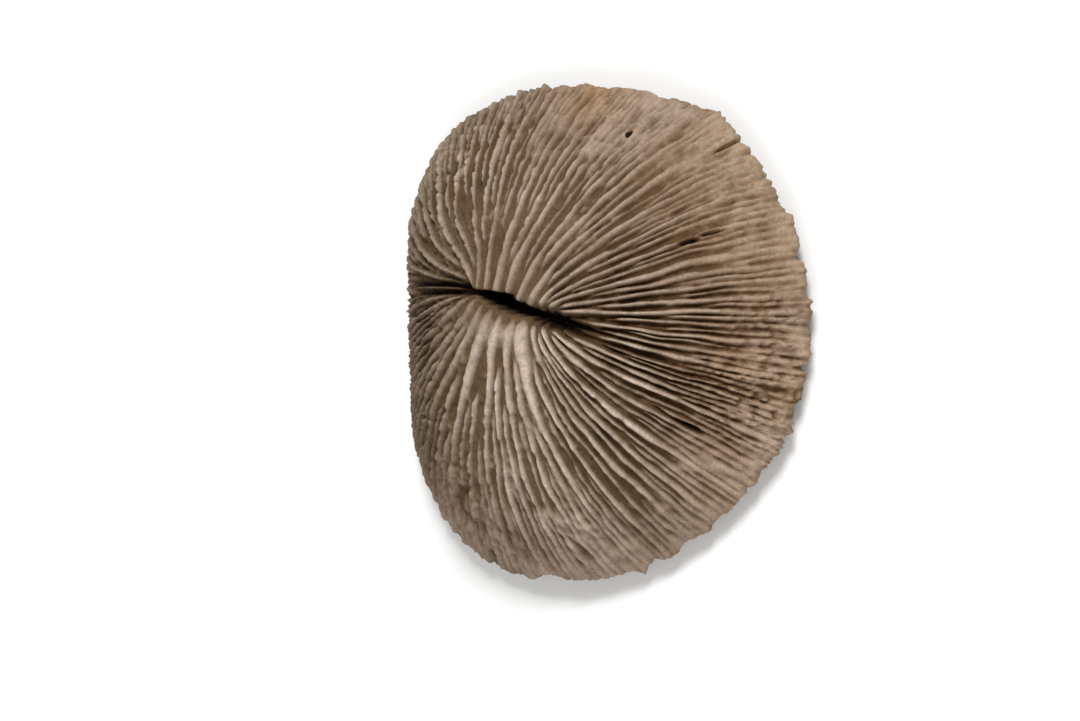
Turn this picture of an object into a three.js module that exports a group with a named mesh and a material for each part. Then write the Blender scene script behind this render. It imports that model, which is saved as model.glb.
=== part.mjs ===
// The skeleton of a mushroom coral: one solid piece of lime, in millimetres, +Z up.
// It is a domed disc that rests on its flat underside. A slit-shaped mouth opens near the top,
// and walls called septa fan out from both of its lips, over the dome, to a thin toothed rim.
// The origin is the middle of the flat underside. +X runs across the mouth and +Y along it.

import * as THREE from "three";
import { LoftGeometry } from "three/addons/geometries/LoftGeometry.js";

// The outline seen from above: a circle with a few slow swells.
const RIM_RADIUS = 55.9;
const RIM_SWELLS = [
  { order: 1, height: 1.0, bearing: 33 },
  { order: 2, height: 1.0, bearing: -20 },
  { order: 3, height: 2.7, bearing: 35 },
  { order: 4, height: 1.5, bearing: 49 },
  { order: 5, height: 0.6, bearing: 46 },
];

// The dome, its rim and the flat face under it.
const RIM_HEIGHT = 6.5;
const RIM_THICKNESS = 3;
const RIM_UNDERCUT = 0.985;
const DOME_RISE = 33;
const DOME_POWER = 2.2;
const BASE_SHARE = 0.62;
const UNDERSIDE_POWER = 1.6;

// The mouth, a slit between two focal points of the septa. It is deepest halfway along.
const MOUTH_X = 6;
const MOUTH_Y = 0.8;
const MOUTH_BEARING = 73;
const MOUTH_HALF_LENGTH = 12;
const MOUTH_HALF_WIDTH = 1.6;
const MOUTH_DEPTH = 14;
const MOUTH_END_DEPTH = 7;
const LIP_DROP = 1.2;

// The furrows that carry on from both ends of the mouth. The far one bends aside on its way to the rim.
const FURROW_DEPTH = 5;
const FURROW_HALF_WIDTH = 1.6;
const FAR_FURROW_END = 0.95;
const NEAR_FURROW_END = 0.42;
const FURROW_BEND = 0.28;
const FURROW_BEND_REACH = 26;

// The septa of the first four cycles, with a flat crest and a groove between each two.
const SEPTA = 48;
const CREST_SHARE = 0.5;
const GROOVE_DEPTH = 2.4;
const GROOVE_STARTS = 0.12;
const RIM_GROOVE_DEPTH = 0.8;

// Rows of points from the lip to the rim, and under it from the rim to the base.
const TOP_ROWS = 15;
const UNDERSIDE_ROWS = 3;

const NORMAL_STEP = 0.05;
const BISECTIONS = 40;

const radians = THREE.MathUtils.degToRad;

function rimRadius(bearing) {
  return RIM_SWELLS.reduce(
    (radius, swell) => radius + swell.height * Math.cos(swell.order * (bearing - radians(swell.bearing))),
    RIM_RADIUS,
  );
}

// How far out a point of the plan lies: 0 at the origin, 1 on the rim.
function rimShare(x, y) {
  return Math.hypot(x, y) / rimRadius(Math.atan2(y, x));
}

function domeHeight(x, y) {
  return RIM_HEIGHT + DOME_RISE * (1 - Math.pow(rimShare(x, y), DOME_POWER));
}

function domeNormal(x, y) {
  const slopeX = domeHeight(x + NORMAL_STEP, y) - domeHeight(x - NORMAL_STEP, y);
  const slopeY = domeHeight(x, y + NORMAL_STEP) - domeHeight(x, y - NORMAL_STEP);
  return new THREE.Vector3(-slopeX, -slopeY, 2 * NORMAL_STEP).normalize();
}

// A smooth bump, 1 in the middle and fading out over the reach on both sides.
function bump(offset, reach) {
  return Math.exp(-((offset / reach) ** 2));
}

// Septa follow the hyperbolas that share the mouth's two focal points: one leaves the mouth square
// to it and bends outwards. Spread is the half-width of the confocal ellipse through the point.
// The far furrow's bend fades away from the mouth's axis.
function planPoint(angle, spread) {
  const along = Math.hypot(MOUTH_HALF_LENGTH, spread) * Math.cos(angle);
  const beside = spread * Math.sin(angle);
  const bend = FURROW_BEND * Math.max(along - MOUTH_HALF_LENGTH, 0) * bump(beside, FURROW_BEND_REACH);
  const across = beside + bend;
  const turn = radians(MOUTH_BEARING);
  return new THREE.Vector2(
    MOUTH_X + along * Math.cos(turn) - across * Math.sin(turn),
    MOUTH_Y + along * Math.sin(turn) + across * Math.cos(turn),
  );
}

// The spread at which the septum at this angle meets the rim.
function rimSpread(angle) {
  let inner = 0;
  let outer = 2 * RIM_RADIUS;
  for (let i = 0; i < BISECTIONS; i++) {
    const middle = (inner + outer) / 2;
    const point = planPoint(angle, middle);
    if (rimShare(point.x, point.y) < 1) inner = middle;
    else outer = middle;
  }
  return inner;
}

// Each septum has three columns of points: its groove, and the two edges of its crest.
function septumColumns() {
  const offsets = [
    { share: 0, groove: true },
    { share: (1 - CREST_SHARE) / 2, groove: false },
    { share: (1 + CREST_SHARE) / 2, groove: false },
  ];
  const columns = [];
  for (let septum = 0; septum < SEPTA; septum++) {
    for (const offset of offsets) {
      const angle = (-2 * Math.PI * (septum + offset.share)) / SEPTA;
      columns.push({ angle, spread: rimSpread(angle), groove: offset.groove });
    }
  }
  return columns;
}

// A ring inside the mouth, sunk below the dome by a share of its full depth.
// At no spread its two sides meet in the mouth's floor line.
function mouthRing(columns, spread, share) {
  return columns.map((column) => {
    const point = planPoint(column.angle, spread);
    const depth = THREE.MathUtils.lerp(MOUTH_END_DEPTH, MOUTH_DEPTH, Math.abs(Math.sin(column.angle)));
    return new THREE.Vector3(point.x, point.y, domeHeight(point.x, point.y) - share * depth);
  });
}

// How deep a furrow is at this angle: nothing at the mouth, full soon after, nothing again at its end.
function furrowDepth(angle, spread, share) {
  const end = Math.cos(angle) > 0 ? FAR_FURROW_END : NEAR_FURROW_END;
  const starts = THREE.MathUtils.smoothstep(spread - MOUTH_HALF_WIDTH, 0, 2 * FURROW_HALF_WIDTH);
  const stays = 1 - THREE.MathUtils.smoothstep(share, end / 3, end);
  return FURROW_DEPTH * starts * stays * bump(spread * Math.sin(angle), FURROW_HALF_WIDTH);
}

// A ring on the dome. Share runs from 0 at the lip to 1 on the rim.
function domeRing(columns, share) {
  const fade = THREE.MathUtils.smoothstep(share, 0, GROOVE_STARTS);
  const depth = fade * THREE.MathUtils.lerp(GROOVE_DEPTH, RIM_GROOVE_DEPTH, share * share);
  const drop = LIP_DROP * (1 - fade);
  return columns.map((column) => {
    const spread = THREE.MathUtils.lerp(MOUTH_HALF_WIDTH, column.spread, share);
    const point = planPoint(column.angle, spread);
    const sunk = drop + (column.groove ? depth : 0) + furrowDepth(column.angle, spread, share);
    const normal = domeNormal(point.x, point.y);
    return new THREE.Vector3(point.x, point.y, domeHeight(point.x, point.y)).addScaledVector(normal, -sunk);
  });
}

// A ring under the rim, drawn in towards the origin as it comes down to the base.
function undersideRing(rim, share) {
  const inwards = THREE.MathUtils.lerp(BASE_SHARE, RIM_UNDERCUT, share);
  const height = (RIM_HEIGHT - RIM_THICKNESS) * Math.pow(share, UNDERSIDE_POWER);
  return rim.map((point) => new THREE.Vector3(point.x * inwards, point.y * inwards, height));
}

function coralGeometry() {
  const columns = septumColumns();
  const sections = [
    mouthRing(columns, 0, 1),
    mouthRing(columns, MOUTH_HALF_WIDTH / 2, 1 / 2),
  ];
  for (let row = 0; row <= TOP_ROWS; row++) sections.push(domeRing(columns, row / TOP_ROWS));
  const rim = sections.at(-1);
  for (let row = UNDERSIDE_ROWS; row >= 0; row--) sections.push(undersideRing(rim, row / UNDERSIDE_ROWS));
  return new LoftGeometry(sections, { capEnd: true });
}

const lime = new THREE.MeshStandardMaterial({ color: 0xa08a72, roughness: 0.95, metalness: 0 });

const coral = new THREE.Mesh(coralGeometry(), lime);
coral.name = "coral";

const mushroomCoral = new THREE.Group();
mushroomCoral.add(coral);

export default mushroomCoral;
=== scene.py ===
import math
from collections import namedtuple
from types import SimpleNamespace

import bmesh
import bpy
import numpy as np
from mathutils import Matrix, Vector


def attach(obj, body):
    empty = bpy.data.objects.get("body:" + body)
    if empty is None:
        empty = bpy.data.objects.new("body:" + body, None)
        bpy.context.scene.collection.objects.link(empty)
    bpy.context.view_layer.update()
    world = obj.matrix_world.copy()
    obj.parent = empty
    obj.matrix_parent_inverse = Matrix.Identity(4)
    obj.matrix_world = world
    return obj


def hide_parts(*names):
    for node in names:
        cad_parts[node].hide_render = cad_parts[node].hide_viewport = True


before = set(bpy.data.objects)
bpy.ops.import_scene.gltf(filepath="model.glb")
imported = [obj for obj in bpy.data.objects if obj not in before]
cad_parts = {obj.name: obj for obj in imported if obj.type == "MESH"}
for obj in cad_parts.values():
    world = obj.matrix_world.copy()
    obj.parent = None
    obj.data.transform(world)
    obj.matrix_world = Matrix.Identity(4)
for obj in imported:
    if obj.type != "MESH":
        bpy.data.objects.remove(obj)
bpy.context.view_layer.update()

MM = 0.001

# The outline and the dome, the same as the solid's. A swell has its order, height and bearing.
RIM_RADIUS = 55.9
RIM_SWELLS = ((1, 1.0, 33), (2, 1.0, -20), (3, 2.7, 35), (4, 1.5, 49), (5, 0.6, 46))
RIM_HEIGHT = 6.5
RIM_THICKNESS = 3.0
RIM_UNDERCUT = 0.985
DOME_RISE = 33.0
DOME_POWER = 2.2
BASE_SHARE = 0.62
UNDERSIDE_POWER = 1.6
NORMAL_STEP = 0.05

# The mouth, a slit between two focal points of the septa. Half its width is narrow at both ends and bulges
# between them. The upper lip has steps, and the lower one falls off softly.
MOUTH_X = 6.0
MOUTH_Y = 0.8
MOUTH_BEARING = 73
MOUTH_HALF_LENGTH = 12.0
MOUTH_DEPTH = 14.0
MOUTH_END_DEPTH = 7.0
MOUTH_FLOOR_SHARE = 0.35
MOUTH_NARROW = 0.7
MOUTH_BULGE = 1.0
BULGE_CENTRE = -0.05
BULGE_REACH = 0.75
WALL_RECESS = 0.6
LIP_STEP = 0.7
UPPER_LIP_DROP = 0.4
UPPER_LIP_REACH = 0.5
LOWER_LIP_DROP = 2.6
LOWER_LIP_REACH = 1.5
LOWER_LIP_GROOVES = (0.3, 1.9)

# The furrows that carry on from the mouth's ends. The far one bends aside and has a thin wall in it.
FURROW_DEPTH = 5.0
FURROW_HALF_WIDTH = 1.6
FURROW_BEND = 0.28
FURROW_BEND_REACH = 26.0
FURROW_WALL = 0.8
FURROW_WALL_REACH = 0.38
FAR_FURROW_END = 0.95
NEAR_FURROW_END = 0.42
NEAR_FURROW_SHARE = 1.4

# The septa in four tiers. The first ones reach the mouth, the others come up between them further out.
# A tier has every step-th septum from its first on. It starts at a share of the way from mouth to rim, and
# its half-width is held to a room counted in septa. Its crests drop below the highest ones, and lie further
# behind them on bold ground. Where the septa are closer together than the pitch it needs, it stays away.
SEPTA = 192
Tier = namedtuple("Tier", "step first half_width room starts drops behind pitch")
TIERS = (
    Tier(8, 0, 1.1, 3.0, (-0.5, -0.04), (0.0, 0.45), 0.0, 0.1),
    Tier(8, 4, 0.95, 1.5, (0.03, 0.22), (0.0, 0.6), 0.2, 0.25),
    Tier(4, 2, 0.82, 0.78, (0.2, 0.5), (0.1, 0.9), 0.6, 0.34),
    Tier(2, 1, 0.6, 0.45, (0.52, 0.9), (0.2, 0.8), 0.8, 0.6),
)
STARTS_SEED = 31
DROPS_SEED = 81
LATE_START = 0.06
NEAR_HEAD_START = 0.21
RISE_SHARE = 0.1
WIDTH_RANGE = (0.66, 1.25)
WANDER_SHARE = 0.28
PROFILE_POWER = 0.7
KNOB_HEIGHT = 0.18
LEAST_PITCH = 0.001
LENGTH_PER_SPREAD = 1.15

# The one septum that is fat near the mouth: its number, how much wider and higher it is, and where it ends.
FAT_SEPTUM = 64
FAT_WIDENING = 0.9
FAT_HEIGHT = 0.3
FAT_END = (0.25, 0.42)

# The grooves between the septa: their depth, what some grounds add to it, and their depth for their width.
GROOVE_DEPTH = 2.0
DEEP_GROOVE = 1.2
BOLD_GROOVE = 0.4
RIM_GROOVE_DEPTH = 1.1
GRAINY_RIM_GROOVE = 0.3
RUGGED_RIM_GROOVE = 0.9
GROOVE_STEEPNESS = 2.2

# Unevenness: the height of the noise, the size of its cells and its seed. The first ones lie over the plan,
# and the last ones run along each septum.
Noise = namedtuple("Noise", "height cell seed")
WEAR = Noise(1, 5, 41)
GROOVE_CHANGES = Noise(0.25, 6, 42)
SWELL = Noise(0.35, 13, 45)
LUMPS = (Noise(0.7, 3.6, 66), Noise(0.6, 1.7, 67))
GRIT = Noise(0.08, 0.7, 46)
PORES = Noise(1, 1.2, 47)
GRAINS = Noise(0.7, 1.1, 48)
UNDERSIDE_GRAINS = Noise(0.5, 1.6, 51)
UNDERSIDE_WEAR = Noise(1, 7, 52)
KNOBS = (Noise(0.6, 1.5, 43), Noise(0.4, 0.8, 62))
BREAKS = Noise(1, 3.2, 44)
SAGS = Noise(1, 6, 61)
WIDTH_CHANGES = Noise(0.22, 5, 63)
WANDER = Noise(1, 11, 65)

# The number of cells after which noise repeats.
NOISE_CELLS = 64

# How the septa drift aside: how far, counted in septa, the cells round the mouth and outwards, and the seed.
Drift = namedtuple("Drift", "septa around outwards seed")
DRIFTS = (Drift(0.9, 16, 2.5, 21), Drift(0.2, 64, 9, 22), Drift(0.12, SEPTA, 14, 23))

# Streaks of grain along the grooves, rows of dots, and pores: number round the mouth, length, height, depth.
STREAKS = 5 * SEPTA // 4
STREAK_LENGTH = 2.4
STREAK_HEIGHT = 0.7
DOTS = 2 * SEPTA
DOT_LENGTH = 0.8
DOT_DEPTH = 0.4
PORE_DEPTH = 0.55

# The rim's edge: lobes, counted round it, teeth, and patches where the teeth are longer. The margin is how
# far past the rim it lies where none of them cuts in.
RIM_MARGIN = 1.1
RIM_LOBES = 56
RIM_LOBE_DEPTH = 1.2
WIDE_LOBES = 20
WIDE_LOBE_DEPTH = 0.7
TOOTH_LENGTH = 0.5
FINE_TOOTH_LENGTH = 1.1
TOOTH_PATCHES = 24
RIM_ANGLE_COUNT = 4097
BISECTIONS = 40

# Dents in the rim: their bearing, depth and half-width in degrees. A depth below zero makes a lobe.
DENTS = (
    (5.5, 0.9, 1.2),
    (10.7, 1.5, 1.0),
    (13.6, -0.9, 1.2),
    (18.0, -0.5, 3.0),
    (30.0, 0.4, 3.0),
    (43.3, 1.2, 1.5),
    (51.5, -0.6, 3.0),
    (77.2, 1.0, 1.2),
    (97.0, -1.0, 5.0),
    (123.0, 1.6, 4.5),
    (143.5, -1.0, 5.0),
    (169.8, 1.7, 3.5),
    (177.5, 0.5, 2.5),
    (-166.3, -1.7, 1.5),
    (-162.0, 0.7, 0.9),
    (-153.0, 1.0, 2.0),
    (-146.0, -0.7, 2.0),
    (-132.0, 0.8, 3.0),
    (-124.0, 1.2, 3.5),
    (-113.5, -1.0, 1.2),
    (-108.0, 0.9, 1.8),
    (-102.0, 1.0, 1.5),
    (-98.4, 1.6, 1.2),
    (-81.0, 1.2, 2.5),
    (-73.0, 1.4, 2.0),
    (-64.5, -1.0, 2.2),
    (-43.2, 1.4, 0.7),
    (-35.0, -0.9, 4.0),
    (-19.5, 0.7, 2.0),
)

# Kinds of ground on the dome seen from above: x, y, reach and strength of each place. Worn ground is low and
# lumpy. Deep ground has deep grooves and slim septa. On bold ground the first septa stand out, on filled
# ground the grooves hold silt, and on fused ground they close up. Rugged ground has knobs, grainy ground has
# beads and pores, and specked ground has rows of dots.
GROUND = {
    "worn": (
        (45, -24, 11, 0.9),
        (36, -38, 8, 0.2),
        (50, -4, 11, 0.6),
        (46, 14, 9, 0.3),
        (-36, 29, 14, 0.5),
        (-48, 24, 13, 0.65),
        (-50, -7, 9, 0.65),
        (-41, -28, 8, 0.4),
    ),
    "deep": ((-1, -36, 11, 0.9), (4, -24, 9, 0.9), (-20, -35, 10, 0.6), (-30, -24, 12, 0.3)),
    "bold": (
        (-12, -9, 10, 0.7),
        (-28, -20, 14, 0.8),
        (-16, -24, 10, 0.4),
        (4, 26, 14, 0.4),
        (22, -24, 14, 0.2),
    ),
    "filled": (
        (-26, 6, 11, 0.8),
        (-36, -4, 12, 0.9),
        (-34, 24, 16, 0.7),
        (-8, 40, 14, 0.4),
        (29, -3, 13, 0.8),
        (20, 20, 11, 1.0),
    ),
    "rugged": (
        (41, 24, 18, 1.0),
        (22, 14, 10, 0.7),
        (30, -6, 10, 0.4),
        (-26, 26, 16, 0.3),
        (10, 40, 14, 0.5),
    ),
    "fused": ((1, -2, 6, 1.0), (2, 5, 5.5, 0.8), (2, 13, 6, 0.6)),
    "grainy": (
        (-11, -47, 11, 1.0),
        (-22, -42, 8, 0.7),
        (4, -50, 8, 0.5),
        (24, -44, 12, 0.7),
        (-36, 26, 18, 0.4),
        (-20, 38, 10, 0.5),
    ),
    "specked": (
        (-14, -46, 12, 1.0),
        (4, -50, 9, 0.6),
        (28, -40, 12, 0.5),
        (-36, 26, 18, 0.4),
        (-12, 42, 12, 0.5),
        (40, 28, 18, 0.7),
    ),
}

# Places where the lime has another colour, in the same form. The dark places are partly dirt and partly
# painted shade over shaded ridges and flanks.
TONES = {
    "pale": (
        (-4, -4, 9, 1.0),
        (-13, 0, 12, 1.0),
        (-27, 0, 13, 0.9),
        (-38, -4, 12, 0.8),
        (-24, -18, 13, 0.8),
        (-12, -17, 11, 0.8),
        (-4, -28, 15, 0.6),
        (-47, -6, 9, 0.5),
        (31, -8, 16, 0.35),
        (36, 24, 17, 0.6),
        (-24, -46, 6, 0.5),
        (-14, 18, 11, 0.3),
    ),
    "warm": (
        (-10, -50, 14, 1.0),
        (18, -48, 16, 1.0),
        (40, -36, 13, 0.9),
        (-36, -40, 14, 0.7),
        (51, -8, 9, 0.8),
        (28, -12, 14, 0.4),
    ),
    "dark": (
        (5, 25, 8, 0.9),
        (46, 30, 9, 1.0),
        (-10, 45, 15, 0.8),
        (-28, 36, 14, 0.8),
        (31, -33, 11, 1.0),
        (16, -47, 9, 0.5),
        (-48, -14, 12, 1.0),
        (49, 5, 8, 0.6),
        (42, -2, 8, 0.8),
        (4, -53, 7, 0.4),
        (-20, 24, 9, 0.4),
    ),
    "earth": (
        (5, -24, 11, 0.9),
        (-10, -37, 12, 0.7),
        (-4, -48, 12, 0.5),
        (-24, -38, 9, 0.5),
        (12, -32, 10, 0.4),
    ),
    "rust": ((52, -2, 5, 1.0), (54, 8, 4, 0.5), (-24, -40, 5, 0.5), (-6, -44, 6, 0.4)),
    "algae": ((35, 39, 6, 1.0), (28, 8, 5, 0.4)),
    "red": ((-34.2, -19, 1.3, 1.0), (-36, -20, 0.9, 0.6)),
}

# The round bore: x, y and radius. The cracks between septa: x, y, half-length and half-width of each.
BORE = (42.8, -17.6, 0.58)
BORE_DEPTH = 1.2
CRACKS = (
    (19.1, -36.3, 1.9, 0.62),
    (20.8, -39.7, 2.3, 0.42),
    (-20.8, -35.6, 2.4, 0.62),
    (39.7, -36.9, 2.0, 0.4),
)
CRACK_DEPTH = 1.8

# The underside, which isn't seen in the photo: fine ridges, grains and a round scar, all hollowed upwards.
UNDERSIDE_RIDGES = SEPTA // 2
RIDGE_HOLLOW = 0.35
GRAIN_HOLLOW = 0.3
SCAR_HOLLOW = 0.5
SCAR_RADIUS = 9.0
SCAR_EDGE = 1.2
SCAR_SLOPE = 2.0
CENTRE_HOLLOW = 0.4

# Rows and columns of the mesh. A ring at the rim has its share of the way down and of the way out. A band
# under the coral has its columns, its outer and inner end and its rows.
INNER_ROWS = 58
OUTER_ROWS = 74
INNER_END = 0.42
INNER_COLUMNS = 2 * SEPTA
OUTER_COLUMNS = 4 * SEPTA
WALL_ROWS = 9
RIM_RINGS = ((0.35, 1.0), (0.75, 0.996))
UNDERSIDE_BANDS = (
    (OUTER_COLUMNS, RIM_UNDERCUT, RIM_UNDERCUT, 1),
    (OUTER_COLUMNS // 2, 0.96, BASE_SHARE, 13),
    (OUTER_COLUMNS // 4, 0.59, 0.26, 10),
    (OUTER_COLUMNS // 8, 0.22, 0.04, 6),
)

# The shades that each point has for the material, from 0 to 1, and the depth that is the darkest. The depth
# shade is painted shade, darker in grooves, hollows and the mouth.
SHADES = ("depth", "worn", "filled", "bore", *TONES)
DARKEST_DEPTH = 5.0

# Colours of the lime, as linear red, green and blue. A ramp has its stops. A tint has the shade that it
# follows, the values between which it comes up, its strength and its colour.
Tint = namedtuple("Tint", "shade low high strength colour")
CREST_RAMP = (
    (0.3, (0.24, 0.175, 0.126)),
    (0.55, (0.31, 0.234, 0.177)),
    (0.75, (0.37, 0.286, 0.223)),
)
CREST_TINTS = (
    Tint("pale", 0.1, 0.9, 0.8, (0.515, 0.416, 0.338)),
    Tint("warm", 0.1, 0.9, 0.6, (0.365, 0.257, 0.166)),
    # The dark tint is partly dirt and partly painted shade.
    Tint("dark", 0.1, 0.9, 0.35, (0.17, 0.116, 0.074)),
    Tint("worn", 0.2, 0.9, 0.45, (0.26, 0.195, 0.14)),
    Tint("blotch", 0.48, 0.72, 0.55, (0.17, 0.118, 0.078)),
    Tint("rust", 0.1, 0.9, 0.55, (0.3, 0.16, 0.07)),
    Tint("algae", 0.1, 0.9, 0.45, (0.2, 0.185, 0.1)),
    Tint("red", 0.2, 0.9, 0.6, (0.2, 0.06, 0.045)),
)
# The groove colours are darker than the crests partly for dust and partly as painted shade. The depth tint
# paints the deepest hollows near black: painted shade.
GROOVE_RAMP = ((0.3, (0.071, 0.041, 0.018)), (0.7, (0.117, 0.075, 0.038)))
GROOVE_TINTS = (
    Tint("warm", 0.1, 0.9, 0.7, (0.13, 0.07, 0.03)),
    Tint("earth", 0.1, 0.9, 0.9, (0.07, 0.034, 0.0125)),
    Tint("depth", 0.5, 0.9, 1.0, (0.017, 0.0075, 0.003)),
    Tint("filled", 0.2, 0.9, 0.55, (0.135, 0.092, 0.055)),
)
GROOVE_DEPTHS = (0.03, 0.32)
# The bore tint paints the inside of the bore near black: painted shade.
BORE_TINT = Tint("bore", 0.15, 0.6, 1.0, (0.008, 0.005, 0.003))
SPECKLE_RAMP = ((0.35, (0.66, 0.62, 0.58)), (0.6, (1.08, 1.08, 1.08)))
SPECKLE_STRENGTH = 0.5
LIME_ROUGHNESS = 0.92
LIME_SHINE = 0.12

# Noise of the material: cells per metre and levels of detail. The height of its bumps is in metres.
MOTTLE = (90, 5)
BLOTCH = (260, 3)
SPECKLE = (1400, 3)
BUMPS = (1100, 6)
BUMP_STRENGTH = 0.35
BUMP_HEIGHT = 0.0003

# The studio, in metres and watts.
FLOOR_HALF_SIDE = 3.0
FLOOR_COLOUR = (0.86, 0.86, 0.85)
FLOOR_ROUGHNESS = 0.9
SKY_STRENGTH = 0.38
Light = namedtuple("Light", "name place watts size")
LIGHTS = (
    Light("key", (0.8, -0.5, 1.0), 19, 0.4),
    Light("fill", (-0.9, -0.3, 0.8), 7, 0.8),
)

# The camera: how far it leans from straight above, how far away it is and where it looks.
CAMERA_LEAN = math.radians(35)
CAMERA_DISTANCE = 600.0
CAMERA_LENS = 89.8
CAMERA_SENSOR = 36.0
CAMERA_ASIDE = 11.1
CAMERA_BELOW = 6.3
CAMERA_NEAREST = 10.0


def smoothstep(low, high, value):
    t = np.clip((value - low) / (high - low), 0, 1)
    return t * t * (3 - 2 * t)


def blend(first, second, share):
    return first + (second - first) * share


def bump(offset, reach):
    """1 in the middle, fading out over the reach on both sides."""
    return np.exp(-((offset / reach) ** 2))


def blobs(x, y, places):
    """From 0 to 1, how strongly these places show at each point."""
    total = np.zeros_like(x)
    for place_x, place_y, reach, strength in places:
        total += strength * np.exp(-((x - place_x) ** 2 + (y - place_y) ** 2) / reach**2)
    return np.clip(total, 0, 1)


def smooth_noise(u, v, seed, around=NOISE_CELLS):
    """Noise from -1 to 1 on unit cells, repeating every so many cells along u."""
    table = np.random.default_rng(seed).uniform(-1, 1, (around, NOISE_CELLS))
    u0 = np.floor(u).astype(int)
    v0 = np.floor(v).astype(int)
    fu = smoothstep(0, 1, u - u0)
    fv = smoothstep(0, 1, v - v0)
    u0, v0 = u0 % around, v0 % NOISE_CELLS
    u1, v1 = (u0 + 1) % around, (v0 + 1) % NOISE_CELLS
    low = table[u0, v0] * (1 - fu) + table[u1, v0] * fu
    high = table[u0, v1] * (1 - fu) + table[u1, v1] * fu
    return low * (1 - fv) + high * fv


def plan_noise(x, y, noise):
    return noise.height * smooth_noise(x / noise.cell, y / noise.cell, noise.seed)


def ring_noise(turns, across, cells, seed):
    """Noise from -1 to 1 that goes once round the mouth in so many cells."""
    return smooth_noise(turns * cells, across, seed, cells)


def septum_noise(septum, length, noise):
    """Noise along each septum, with no link to its neighbours."""
    table = np.random.default_rng(noise.seed).uniform(-1, 1, (SEPTA, NOISE_CELLS))
    steps = length / noise.cell
    cell = np.floor(steps).astype(int)
    part = smoothstep(0, 1, steps - cell)
    near = table[septum, cell % NOISE_CELLS]
    far = table[septum, (cell + 1) % NOISE_CELLS]
    return noise.height * (near * (1 - part) + far * part)


def septum_values(low, high, seed):
    return np.random.default_rng(seed).uniform(low, high, SEPTA)


SEPTUM_STARTS = [septum_values(*tier.starts, STARTS_SEED + order) for order, tier in enumerate(TIERS)]
SEPTUM_DROPS = [septum_values(*tier.drops, DROPS_SEED + order) for order, tier in enumerate(TIERS)]
SEPTUM_WIDTHS = septum_values(*WIDTH_RANGE, seed=37)
LIP_STEPS = septum_values(0, 1, seed=40)


def rim_radius(bearing):
    return RIM_RADIUS + sum(h * np.cos(n * (bearing - math.radians(b))) for n, h, b in RIM_SWELLS)


def rim_share(x, y):
    """How far out a point of the plan lies: 0 at the origin, 1 on the rim."""
    return np.hypot(x, y) / rim_radius(np.arctan2(y, x))


def dome_height(x, y):
    return RIM_HEIGHT + DOME_RISE * (1 - rim_share(x, y) ** DOME_POWER)


def dome_normal(x, y):
    slope_x = (dome_height(x + NORMAL_STEP, y) - dome_height(x - NORMAL_STEP, y)) / (2 * NORMAL_STEP)
    slope_y = (dome_height(x, y + NORMAL_STEP) - dome_height(x, y - NORMAL_STEP)) / (2 * NORMAL_STEP)
    normal = np.stack([-slope_x, -slope_y, np.ones_like(slope_x)], axis=-1)
    return normal / np.linalg.norm(normal, axis=-1, keepdims=True)


def plan_point(angle, spread):
    """A point on the septum at this angle, spread being the half-width of the ellipse round the mouth."""
    along = np.hypot(MOUTH_HALF_LENGTH, spread) * np.cos(angle)
    beside = spread * np.sin(angle)
    bend = FURROW_BEND * np.maximum(along - MOUTH_HALF_LENGTH, 0) * bump(beside, FURROW_BEND_REACH)
    across = beside + bend
    turn = math.radians(MOUTH_BEARING)
    x = MOUTH_X + along * math.cos(turn) - across * math.sin(turn)
    y = MOUTH_Y + along * math.sin(turn) + across * math.cos(turn)
    return x, y


def septum_angle(place):
    return place * 2 * math.pi / SEPTA


def nearest_septum(place, tier):
    """The nearest septum of a tier, and how far past it this place is."""
    nearest = tier.step * np.round((place - tier.first) / tier.step) + tier.first
    return nearest.astype(int) % SEPTA, place - nearest


def rim_dents(x, y):
    """How far the dents move the edge of the rim, in the direction of these places."""
    bearing = np.degrees(np.arctan2(y, x))
    edge = np.zeros_like(x)
    for dent_bearing, depth, half_width in DENTS:
        off = (bearing - dent_bearing + 180) % 360 - 180
        edge = edge - depth * bump(off, half_width)
    return edge


def rim_edge(angle):
    """How far the lobes and teeth move the edge of the rim.

    The teeth are longest on the near side and past the lower lip.
    """
    turns = angle / (2 * math.pi)
    still = np.zeros_like(turns)
    lobes = 0.5 + 0.5 * ring_noise(turns, still, RIM_LOBES, seed=11)
    wide_lobes = 0.5 + 0.5 * ring_noise(turns, still, WIDE_LOBES, seed=12)
    teeth = TOOTH_LENGTH * np.maximum(ring_noise(turns, still, SEPTA, seed=13), 0)
    teeth = teeth + FINE_TOOTH_LENGTH * np.abs(ring_noise(turns, still, 2 * SEPTA, seed=15))
    patchy = 0.6 + 0.5 * ring_noise(turns, still, TOOTH_PATCHES, seed=14)
    sides = 0.75 - 0.35 * np.cos(angle) + 0.25 * np.sin(angle)
    return RIM_MARGIN - RIM_LOBE_DEPTH * lobes - WIDE_LOBE_DEPTH * wide_lobes - teeth * patchy * sides


def rim_spread_table():
    """Angles all round the mouth, and the spread at which each one meets the rim."""
    angle = np.linspace(0, 2 * math.pi, RIM_ANGLE_COUNT)
    edge = rim_edge(angle)
    inner = np.zeros_like(angle)
    outer = np.full_like(angle, 2 * RIM_RADIUS)
    for _ in range(BISECTIONS):
        middle = (inner + outer) / 2
        x, y = plan_point(angle, middle)
        inside = rim_share(x, y) < 1 + (edge + rim_dents(x, y)) / RIM_RADIUS
        inner = np.where(inside, middle, inner)
        outer = np.where(inside, outer, middle)
    return angle, inner


RIM_ANGLES, RIM_SPREADS = rim_spread_table()


def rim_spread(angle):
    return np.interp(angle % (2 * math.pi), RIM_ANGLES, RIM_SPREADS)


def lip_spread(place, angle):
    """Half the mouth's width. The septa of the upper lip end in uneven steps."""
    septum, _ = nearest_septum(place, TIERS[0])
    steps = LIP_STEP * LIP_STEPS[septum] * np.clip(-np.sin(angle), 0, 1)
    return MOUTH_NARROW + (MOUTH_BULGE + steps) * bump(np.cos(angle) - BULGE_CENTRE, BULGE_REACH)


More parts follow.
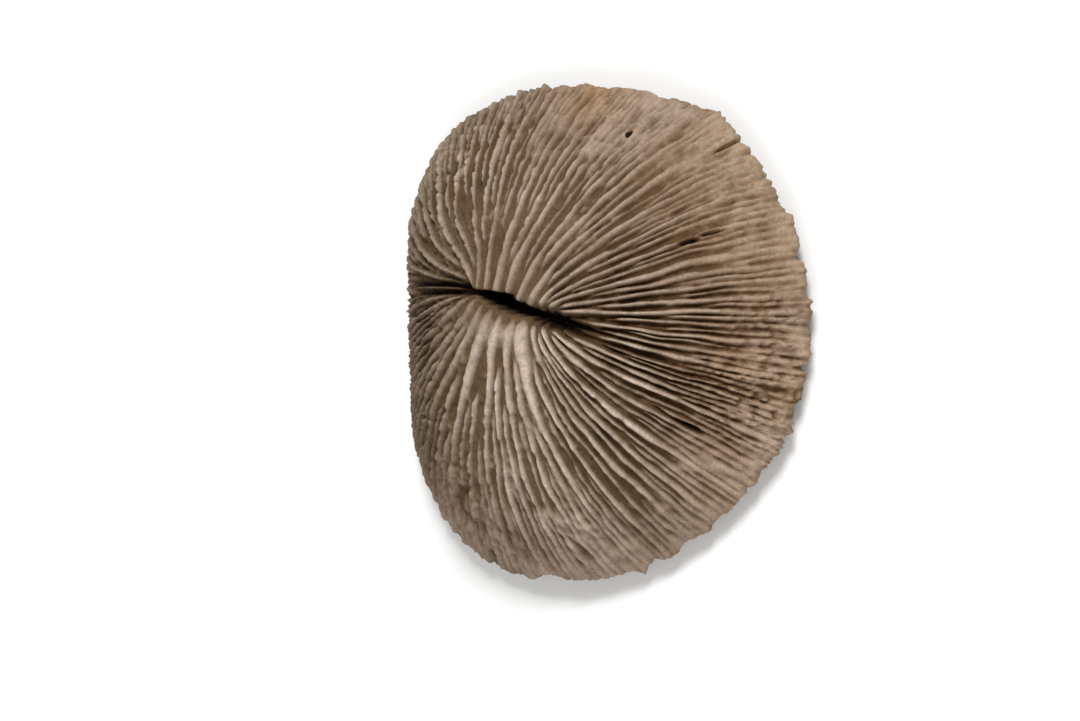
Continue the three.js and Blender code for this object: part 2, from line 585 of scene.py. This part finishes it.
def drift(place, share):
    """How far the septa lie aside of their even places, counted in septa. At the mouth it is nothing."""
    turns = place / SEPTA
    waves = [d.septa * ring_noise(turns, share * d.outwards, d.around, d.seed) for d in DRIFTS]
    return smoothstep(0.0, 0.25, share) * sum(waves)


def spot_at(share, place):
    """Where points of the upper face lie.

    Share runs from 0 at the mouth's lip to 1 at the rim, and place counts septa round the mouth. The later
    septa start further in on the near side of the mouth than elsewhere.
    """
    angle = septum_angle(place + drift(place, share))
    lip = lip_spread(place, angle)
    spread = lip + (rim_spread(angle) - lip) * share
    x, y = plan_point(angle, spread)
    pitch = septum_angle(np.hypot(spread, MOUTH_HALF_LENGTH * np.sin(angle)))
    return SimpleNamespace(
        share=share,
        place=place,
        angle=angle,
        spread=spread,
        x=x,
        y=y,
        from_lip=spread - lip,
        pitch=np.maximum(pitch, LEAST_PITCH),
        length=LENGTH_PER_SPREAD * spread,
        late=LATE_START - NEAR_HEAD_START * np.clip(-np.cos(angle), 0, 1) ** 2,
        lower=np.sin(angle) > 0,
    )


def ground_at(x, y):
    """How strongly each kind of ground shows at these places. Wear is patchy, with a little anywhere."""
    ground = SimpleNamespace(**{kind: blobs(x, y, places) for kind, places in GROUND.items()})
    patches = plan_noise(x, y, WEAR)
    worn = ground.worn * (0.8 + 0.4 * patches) + 0.25 * smoothstep(0.35, 0.8, patches)
    ground.worn = np.clip(worn, 0, 1)
    return ground


def groove_depth(spot, ground):
    """How deep the grooves are. They start past the lower lip, flatten at the rim and suit their width."""
    groove = GROOVE_DEPTH + DEEP_GROOVE * ground.deep + BOLD_GROOVE * ground.bold
    groove = groove * (1 - 0.6 * ground.fused) * (1 - 0.2 * ground.filled * (1 - ground.deep))
    rim_groove = RIM_GROOVE_DEPTH + GRAINY_RIM_GROOVE * ground.grainy + RUGGED_RIM_GROOVE * ground.rugged
    groove = blend(groove, rim_groove, smoothstep(0.62, 0.95, spot.share))
    groove = groove * (1 - 0.45 * smoothstep(0.92, 1.0, spot.share))
    groove = groove * (1 - 0.5 * ground.worn) * (0.9 + plan_noise(spot.x, spot.y, GROOVE_CHANGES))
    groove = groove * np.where(spot.lower, smoothstep(*LOWER_LIP_GROOVES, spot.from_lip), 1)

    # Septa side by side are eight places apart at the mouth and one at the rim, where all tiers are up.
    out = spot.share - spot.late
    gap = 8 - 4 * smoothstep(0.03, 0.28, out) - 2 * smoothstep(0.25, 0.6, out) - smoothstep(0.6, 1.0, out)
    return np.minimum(groove, GROOVE_STEEPNESS * gap * spot.pitch)


def septum_rises(spot, nearest):
    """How far the nearest septum of each tier has come up.

    Near the mouth's ends there is room for fewer, and every other one of the first tier needs more room.
    """
    first_step = TIERS[0].step
    rises = []
    for tier, (septum, _), starts in zip(TIERS, nearest, SEPTUM_STARTS):
        start = starts[septum] + spot.late
        needed = tier.pitch * np.where(septum % (2 * first_step) == first_step, 2, 1)
        fits = smoothstep(needed, 1.5 * needed, spot.pitch)
        rises.append(smoothstep(start, start + RISE_SHARE, spot.share) * fits)
    return rises


def septum_room(order, rises):
    """Half the room a septum has, counted in septa. It shrinks as later septa come up beside it."""
    room = np.full_like(rises[0], TIERS[order].room)
    for later in range(order + 1, len(TIERS)):
        room = blend(room, TIERS[later].room, rises[later])
    return room


def septum_profile(order, septum, offset, room, knobs, fat, spot, ground):
    """The shape across a septum: 1 on its crest, 0 past its half-width."""
    tier = TIERS[order]
    wander = WANDER_SHARE * room * septum_noise(septum, spot.length, WANDER) * (1 + 0.6 * ground.rugged)
    slim = 1 - 0.3 * ground.deep - 0.3 * ground.filled * (1 - ground.deep) - 0.12 * ground.rugged
    boldness = 1 + (0.25 - 0.4 * tier.behind) * ground.bold
    width = tier.half_width * SEPTUM_WIDTHS[septum] * slim * boldness
    width = width * (1 + septum_noise(septum, spot.length, WIDTH_CHANGES) + 0.15 * knobs)
    room = room * (1 - 0.15 * ground.deep + 0.12 * ground.worn + 0.7 * fat)
    half = np.minimum(width * (1 + fat) / spot.pitch, room)
    return np.clip(1 - ((offset - wander) / half) ** 2, 0, 1) ** PROFILE_POWER


def septum_crest(order, septum, rise, knobs, fat, groove, spot, ground):
    """How high a septum's crest stands over the floor of the grooves."""
    sag = (0.2 + 0.15 * order) * np.maximum(septum_noise(septum, spot.length, SAGS), 0)
    recessed = np.maximum(ground.bold, 0.35 * ground.deep)
    drop = SEPTUM_DROPS[order][septum] + sag + TIERS[order].behind * recessed
    drop = drop * (1 - 0.7 * smoothstep(0.7, 1.0, spot.share))
    broken = (0.35 + 0.1 * ground.rugged + 0.4 * ground.worn) * (1 - 0.8 * ground.deep)
    broken = broken * smoothstep(0.45, 0.9, septum_noise(septum, spot.length, BREAKS))
    crest = rise * np.maximum(groove - drop, 0.15 * groove) * (1 - broken)
    return crest + rise * (KNOB_HEIGHT * knobs + FAT_HEIGHT * fat)


def septa_height(spot, groove, ground):
    """How high the septa and the grooves stand over the dome, and from 0 to 1 where the crests are."""
    nearest = [nearest_septum(spot.place, tier) for tier in TIERS]
    rises = septum_rises(spot, nearest)
    knobbly = (0.7 + 1.3 * ground.grainy + 1.4 * ground.rugged) * (1 - 0.6 * ground.deep)
    knobbly = knobbly * smoothstep(0.03, 0.2, spot.share)
    height = np.full_like(spot.place, -math.inf)
    ridge = np.zeros_like(spot.place)
    for order, (septum, offset) in enumerate(nearest):
        rise = rises[order]
        room = septum_room(order, rises)
        knobs = sum(septum_noise(septum, spot.length, noise) for noise in KNOBS) * knobbly
        fat = FAT_WIDENING * (septum == FAT_SEPTUM) * (1 - smoothstep(*FAT_END, spot.share))
        profile = septum_profile(order, septum, offset, room, knobs, fat, spot, ground)
        crest = septum_crest(order, septum, rise, knobs, fat, groove, spot, ground)
        top = -groove + crest * profile
        ridge = np.where(top > height, rise * profile**2, ridge)
        height = np.maximum(height, top)
    return height, ridge


def grained(height, spot, groove, ground):
    """The height of the septa and grooves with lumps, grit and grains on them."""
    lumps = sum(plan_noise(spot.x, spot.y, noise) for noise in LUMPS)
    lumps = lumps * np.maximum(ground.worn, 0.25 * ground.filled)
    grit = plan_noise(spot.x, spot.y, GRIT) * smoothstep(0.1, 0.3, spot.share)
    low = np.clip(-height / np.maximum(groove, 0.3), 0, 1) * smoothstep(0.08, 0.2, spot.share)
    grainy = 0.4 * low + 0.3 * ground.worn + 0.15 * ground.rugged
    streaks = smooth_noise(spot.place * STREAKS / SEPTA, spot.length / STREAK_LENGTH, 49, STREAKS)
    grains = grainy * (plan_noise(spot.x, spot.y, GRAINS) + STREAK_HEIGHT * streaks)
    return height + lumps + grit + grains


def pores_at(spot, ground):
    """Open pores in worn and coarse ground, from 0 to 1."""
    holed = 0.5 * ground.worn + 0.6 * ground.grainy + 0.5 * ground.rugged + 0.3 * ground.filled
    return smoothstep(0.45, 0.8, plan_noise(spot.x, spot.y, PORES)) * np.clip(holed, 0, 1)


def dots_at(spot, ground):
    """Rows of dots, from 1 where one is sunk to -1 where one stands out."""
    return smooth_noise(spot.place * DOTS / SEPTA, spot.length / DOT_LENGTH, 50, DOTS) * ground.specked


def holes_at(x, y):
    """The bore, the smooth ground round it and the open cracks between septa, from 0 to 1 in each."""
    bore_x, bore_y, bore_radius = BORE
    from_bore = np.hypot(x - bore_x, y - bore_y) / bore_radius
    bore = 1 - smoothstep(0.9, 1.5, from_bore)
    smooth = 1 - smoothstep(1.2, 3.6, from_bore)
    cracks = np.zeros_like(x)
    for crack_x, crack_y, half_length, half_width in CRACKS:
        bearing = np.arctan2(crack_y - MOUTH_Y, crack_x - MOUTH_X)
        out = (x - crack_x) * np.cos(bearing) + (y - crack_y) * np.sin(bearing)
        side = (y - crack_y) * np.cos(bearing) - (x - crack_x) * np.sin(bearing)
        cracks = np.maximum(cracks, 1 - smoothstep(0.5, 1.3, np.hypot(out / half_length, side / half_width)))
    return bore, smooth, cracks


def furrow_depth(spot):
    """The furrows past the mouth's two ends. A thin wall stands in the far one."""
    far = np.cos(spot.angle) > 0
    beside = spot.spread * np.sin(spot.angle)
    along = np.hypot(MOUTH_HALF_LENGTH, spot.spread) * np.abs(np.cos(spot.angle)) / MOUTH_HALF_LENGTH
    end = np.where(far, FAR_FURROW_END, NEAR_FURROW_END)
    starts = np.where(far, smoothstep(0.72, 1.1, along), smoothstep(0.4, 0.9, along))
    stays = starts * (1 - smoothstep(0.3 * end, end, spot.share))
    wall = FURROW_WALL * bump(beside, FURROW_WALL_REACH) * far * smoothstep(1.2, 1.5, along)
    furrow = bump(beside, FURROW_HALF_WIDTH) - wall
    return FURROW_DEPTH * np.where(far, 1.0, NEAR_FURROW_SHARE) * stays * furrow


def lip_drop_at(spot):
    """How far the dome drops towards the two lips of the mouth."""
    lower_drop = LOWER_LIP_DROP * np.exp(-spot.from_lip / LOWER_LIP_REACH)
    upper_drop = UPPER_LIP_DROP * np.exp(-spot.from_lip / UPPER_LIP_REACH)
    return np.where(spot.lower, lower_drop, upper_drop)


def upper_face(share, place):
    """Points of the upper face, and the shades at each one."""
    spot = spot_at(share, place)
    x, y = spot.x, spot.y
    ground = ground_at(x, y)
    groove = groove_depth(spot, ground)
    height, ridge = septa_height(spot, groove, ground)
    pores = pores_at(spot, ground)
    dots = dots_at(spot, ground)
    bore, smooth, cracks = holes_at(x, y)
    lip_drop = lip_drop_at(spot)
    swell = plan_noise(x, y, SWELL) * smoothstep(0.0, 0.2, share)
    relief = grained(height, spot, groove, ground) - PORE_DEPTH * pores - DOT_DEPTH * dots
    relief = relief * (1 - 0.85 * smooth)
    relief = relief - furrow_depth(spot) - BORE_DEPTH * bore**2 - CRACK_DEPTH * cracks
    rise = relief - lip_drop + swell
    points = np.stack([x, y, dome_height(x, y)], axis=-1) + dome_normal(x, y) * rise[..., None]

    # Painted shade: low ground and the drop to the lips are painted darker by their depth, partly for dust
    # in the grooves, and crests get a painted highlight, lighter than their depth alone would make them. The
    # bore, cracks, pores and dots are painted dark too: painted shade in their hollows.
    depth = np.clip((1.25 * lip_drop - relief) * (1 + 0.35 * ground.rugged) / DARKEST_DEPTH, 0, 1)
    depth = depth * (1.1 - 0.36 * ridge)
    for mark in (bore, cracks, 0.25 * pores, 0.5 * dots):
        depth = np.maximum(depth, mark)
    tones = [blobs(x, y, places) for places in TONES.values()]
    return points, np.stack([depth, ground.worn, ground.filled, bore, *tones], axis=-1)


def plain_shades(count, **values):
    """Shades of so many points, with the named ones set and the others at 0."""
    shades = np.zeros((count, len(SHADES)))
    for name, value in values.items():
        shades[:, SHADES.index(name)] = value
    return shades


def places_round(columns):
    return np.arange(columns) * SEPTA / columns


def upper_rings(shares, columns):
    """Rings of points and shades on the upper face."""
    points, shades = upper_face(*np.meshgrid(shares, places_round(columns), indexing="ij"))
    return list(zip(points, shades))


def mouth_rings(lip_points):
    """Rings up the walls of the mouth, from the floor to just below the lip."""
    place = places_round(len(lip_points))
    angle = septum_angle(place)
    lip = lip_spread(place, angle)
    _, offset = nearest_septum(place, TIERS[0])
    recess = WALL_RECESS * smoothstep(1.2, 3.6, np.abs(offset)) * np.abs(np.sin(angle))
    floor_x, floor_y = plan_point(angle, np.zeros_like(angle))
    floor = dome_height(floor_x, floor_y) - blend(MOUTH_END_DEPTH, MOUTH_DEPTH, np.abs(np.sin(angle)))
    rings = []
    for row in range(WALL_ROWS):
        up = row / WALL_ROWS
        spread = lip * (MOUTH_FLOOR_SHARE + (1 - MOUTH_FLOOR_SHARE) * up**0.5) + recess * up
        x, y = plan_point(angle, spread)
        z = floor + (lip_points[:, 2] - floor) * up
        # Painted shade: the mouth's walls get the depth shade, darkest at the floor.
        rings.append((np.stack([x, y, z], axis=-1), plain_shades(len(place), depth=1 - 0.35 * up**2)))
    return rings


def underside_height(share):
    slope = np.clip((share - BASE_SHARE) / (RIM_UNDERCUT - BASE_SHARE), 0, None)
    return (RIM_HEIGHT - RIM_THICKNESS) * slope**UNDERSIDE_POWER


def rim_rings(rim_points, rim_shades):
    """Rings down the edge of the rim."""
    low = underside_height(RIM_UNDERCUT)
    rings = []
    for fall, share in RIM_RINGS:
        points = rim_points * np.array([share, share, 1.0])
        points[:, 2] = rim_points[:, 2] + (low - rim_points[:, 2]) * fall
        rings.append((points, rim_shades))
    return rings


def underside_ring(rim_points, share, columns):
    """A ring under the coral. Its ridges and grains are hollowed upwards, so it still rests on z = 0."""
    step = len(rim_points) // columns
    x = rim_points[::step, 0] * share
    y = rim_points[::step, 1] * share
    turn = np.arange(columns) / columns
    radius = np.hypot(x, y)
    ridges = 0.5 - 0.5 * np.cos(2 * math.pi * UNDERSIDE_RIDGES * turn)
    ridges = ridges * smoothstep(0.3, 0.8, share)
    grains = 0.5 + plan_noise(x, y, UNDERSIDE_GRAINS)
    scar_floor = 1 - smoothstep(SCAR_RADIUS - SCAR_SLOPE, SCAR_RADIUS, radius)
    scar = bump(radius - SCAR_RADIUS, SCAR_EDGE) + 0.5 * scar_floor
    hollow = RIDGE_HOLLOW * ridges + GRAIN_HOLLOW * grains + SCAR_HOLLOW * scar * (0.6 + 0.4 * grains)
    hollow = hollow * (1 - 0.999 * smoothstep(0.3, 0.8, plan_noise(x, y, UNDERSIDE_WEAR)))
    z = underside_height(share) + hollow
    # The whole underside gets a little of the groove colour and its hollows more: painted shade in the
    # hollows. The even worn value is wear.
    return np.stack([x, y, z], axis=-1), plain_shades(columns, depth=0.12 + 0.2 * hollow, worn=0.3)


def underside_rings(rim_points):
    rings = []
    for columns, outer_end, inner_end, rows in UNDERSIDE_BANDS:
        for share in np.linspace(outer_end, inner_end, rows):
            rings.append(underside_ring(rim_points, share, columns))
    return rings


class Shell:
    """Points, faces and per-point shades of one closed skin, built ring by ring."""

    def __init__(self):
        self.points = []
        self.shades = []
        self.faces = []
        self.count = 0

    def ring(self, points, shades):
        self.points.append(points)
        self.shades.append(shades)
        first = self.count
        self.count += len(points)
        return range(first, self.count)

    def join(self, near, far):
        """Faces between two rings with as many points, or with twice as many in one of them."""
        if len(near) == len(far):
            self.join_even(near, far)
        elif len(near) < len(far):
            self.join_double(near, far)
        else:
            self.join_double(far, near)

    def join_even(self, near, far):
        for i in range(len(near)):
            j = (i + 1) % len(near)
            self.faces.append((near[i], near[j], far[j], far[i]))

    def join_double(self, coarse, fine):
        for i in range(len(coarse)):
            j = (i + 1) % len(coarse)
            a, b, c = fine[2 * i], fine[2 * i + 1], fine[(2 * i + 2) % len(fine)]
            self.faces.append((coarse[i], b, a))
            self.faces.append((coarse[i], coarse[j], b))
            self.faces.append((coarse[j], c, b))

    def close_slit(self, ring):
        """Faces straight across a ring. At its two ends they have three corners."""
        for i in range(len(ring) // 2):
            corners = [ring[i], ring[i + 1], ring[-i - 1], ring[-i]]
            self.faces.append(tuple(dict.fromkeys(corners)))

    def close_fan(self, ring, centre):
        for i in range(len(ring)):
            self.faces.append((ring[i], ring[(i + 1) % len(ring)], centre))


def coral_shell():
    """The skin, from the mouth's floor over the dome and the rim to the middle of the underside."""
    inner = upper_rings(np.linspace(0, INNER_END, INNER_ROWS), INNER_COLUMNS)
    outer_shares = INNER_END + (1 - INNER_END) * np.arange(1, OUTER_ROWS + 1) / OUTER_ROWS
    outer = upper_rings(outer_shares, OUTER_COLUMNS)
    lip_points, _ = inner[0]
    rim_points, rim_shades = outer[-1]
    upper = mouth_rings(lip_points) + inner + outer
    lower = rim_rings(rim_points, rim_shades) + underside_rings(rim_points)

    shell = Shell()
    rings = [shell.ring(points, shades) for points, shades in upper + lower]
    shell.close_slit(rings[0])
    for near, far in zip(rings, rings[1:]):
        shell.join(near, far)
    centre = shell.ring(np.array([[0.0, 0.0, CENTRE_HOLLOW]]), plain_shades(1))
    shell.close_fan(rings[-1], centre[0])
    return shell


def coral_piece():
    shell = coral_shell()
    points = np.concatenate(shell.points) * MM
    shades = np.concatenate(shell.shades)
    mesh = bpy.data.meshes.new("coral_skeleton")
    mesh.from_pydata(points.tolist(), [], shell.faces)
    work = bmesh.new()
    work.from_mesh(mesh)
    bmesh.ops.recalc_face_normals(work, faces=work.faces)
    work.to_mesh(mesh)
    work.free()
    mesh.polygons.foreach_set("use_smooth", np.ones(len(mesh.polygons), dtype=bool))
    for name, values in zip(SHADES, shades.T):
        layer = mesh.attributes.new(name, "FLOAT", "POINT")
        layer.data.foreach_set("value", values.copy())
    mesh.validate()
    piece = bpy.data.objects.new("coral_skeleton", mesh)
    bpy.context.collection.objects.link(piece)
    return piece


class Nodes:
    """The nodes of one material. Each method adds a node and returns the socket that holds its result."""

    def __init__(self, material):
        material.use_nodes = True
        self.nodes = material.node_tree.nodes
        self.links = material.node_tree.links
        self.place = self.nodes.new("ShaderNodeTexCoord").outputs["Object"]

    def attribute(self, name):
        node = self.nodes.new("ShaderNodeAttribute")
        node.attribute_name = name
        return node.outputs["Fac"]

    def noise(self, scale, detail):
        node = self.nodes.new("ShaderNodeTexNoise")
        node.inputs["Scale"].default_value = scale
        node.inputs["Detail"].default_value = detail
        self.links.new(self.place, node.inputs["Vector"])
        return node.outputs["Fac"]

    def ramp(self, value, stops):
        node = self.nodes.new("ShaderNodeValToRGB")
        elements = node.color_ramp.elements
        while len(elements) < len(stops):
            elements.new(0.5)
        for element, (position, colour) in zip(elements, stops):
            element.position = position
            element.color = (*colour, 1)
        self.links.new(value, node.inputs["Fac"])
        return node.outputs["Color"]

    def fade(self, value, low, high, most=1.0):
        """0 up to the low value, rising to the most at the high one."""
        return self.ramp(value, ((low, (0, 0, 0)), (high, (most, most, most))))

    def mix(self, factor, first, second):
        node = self.nodes.new("ShaderNodeMix")
        node.data_type = "RGBA"
        self.links.new(factor, node.inputs["Factor"])
        for value, socket in ((first, node.inputs["A"]), (second, node.inputs["B"])):
            if isinstance(value, tuple):
                socket.default_value = (*value, 1)
            else:
                self.links.new(value, socket)
        return node.outputs["Result"]

    def multiply(self, strength, first, second):
        node = self.nodes.new("ShaderNodeMix")
        node.data_type = "RGBA"
        node.blend_type = "MULTIPLY"
        node.inputs["Factor"].default_value = strength
        self.links.new(first, node.inputs["A"])
        self.links.new(second, node.inputs["B"])
        return node.outputs["Result"]

    def bumps(self, height):
        node = self.nodes.new("ShaderNodeBump")
        node.inputs["Strength"].default_value = BUMP_STRENGTH
        node.inputs["Distance"].default_value = BUMP_HEIGHT
        self.links.new(height, node.inputs["Height"])
        return node.outputs["Normal"]


def lime_material():
    material = bpy.data.materials.new("lime")
    nodes = Nodes(material)
    shades = {name: nodes.attribute(name) for name in SHADES}
    shades["blotch"] = nodes.noise(*BLOTCH)

    def tinted(colour, tints):
        for tint in tints:
            strength = nodes.fade(shades[tint.shade], tint.low, tint.high, tint.strength)
            colour = nodes.mix(strength, colour, tint.colour)
        return colour

    mottle = nodes.noise(*MOTTLE)
    crest = tinted(nodes.ramp(mottle, CREST_RAMP), CREST_TINTS)
    groove = tinted(nodes.ramp(mottle, GROOVE_RAMP), GROOVE_TINTS)
    # Painted shade: the depth shade turns the crest colour into the darker groove colour, and the bore tint
    # paints the bore near black.
    colour = nodes.mix(nodes.fade(shades["depth"], *GROOVE_DEPTHS), crest, groove)
    colour = tinted(colour, [BORE_TINT])
    speckle = nodes.ramp(nodes.noise(*SPECKLE), SPECKLE_RAMP)
    colour = nodes.multiply(SPECKLE_STRENGTH, colour, speckle)

    shader = material.node_tree.nodes["Principled BSDF"]
    shader.inputs["Roughness"].default_value = LIME_ROUGHNESS
    shader.inputs["Specular IOR Level"].default_value = LIME_SHINE
    nodes.links.new(colour, shader.inputs["Base Color"])
    nodes.links.new(nodes.bumps(nodes.noise(*BUMPS)), shader.inputs["Normal"])
    return material


def floor_piece():
    mesh = bpy.data.meshes.new("floor")
    side = FLOOR_HALF_SIDE
    corners = [(-side, -side, 0), (side, -side, 0), (side, side, 0), (-side, side, 0)]
    mesh.from_pydata(corners, [], [(0, 1, 2, 3)])
    floor = bpy.data.objects.new("floor", mesh)
    bpy.context.collection.objects.link(floor)
    material = bpy.data.materials.new("floor")
    material.use_nodes = True
    shader = material.node_tree.nodes["Principled BSDF"]
    shader.inputs["Base Color"].default_value = (*FLOOR_COLOUR, 1)
    shader.inputs["Roughness"].default_value = FLOOR_ROUGHNESS
    mesh.materials.append(material)


def area_light(name, place, watts, size):
    """A square light that faces the origin."""
    data = bpy.data.lights.new(name, "AREA")
    data.energy = watts
    data.size = size
    light = bpy.data.objects.new(name, data)
    light.location = place
    light.rotation_euler = (-Vector(place)).to_track_quat("-Z", "Y").to_euler()
    bpy.context.collection.objects.link(light)


def studio():
    world = bpy.data.worlds.new("studio")
    world.use_nodes = True
    background = world.node_tree.nodes["Background"]
    background.inputs["Color"].default_value = (1, 1, 1, 1)
    background.inputs["Strength"].default_value = SKY_STRENGTH
    bpy.context.scene.world = world
    for light in LIGHTS:
        area_light(*light)
    bpy.context.scene.view_settings.view_transform = "Standard"


def camera():
    """The camera leans towards -Y, with +X up in the picture."""
    lean_cos, lean_sin = math.cos(CAMERA_LEAN), math.sin(CAMERA_LEAN)
    right = Vector((0, -lean_cos, -lean_sin))
    up = Vector((1, 0, 0))
    back = Vector((0, -lean_sin, lean_cos))
    target = Vector((0, 0, RIM_HEIGHT)) - right * CAMERA_ASIDE - up * CAMERA_BELOW
    data = bpy.data.cameras.new("camera")
    data.lens = CAMERA_LENS
    data.sensor_width = CAMERA_SENSOR
    data.clip_start = CAMERA_NEAREST * MM
    view = bpy.data.objects.new("camera", data)
    turn = Matrix((right, up, back)).transposed().to_4x4()
    view.matrix_world = Matrix.Translation((target + back * CAMERA_DISTANCE) * MM) @ turn
    bpy.context.collection.objects.link(view)
    bpy.context.scene.camera = view


coral = coral_piece()
coral.data.materials.append(lime_material())
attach(coral, "root")
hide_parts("coral")
floor_piece()
studio()
camera()
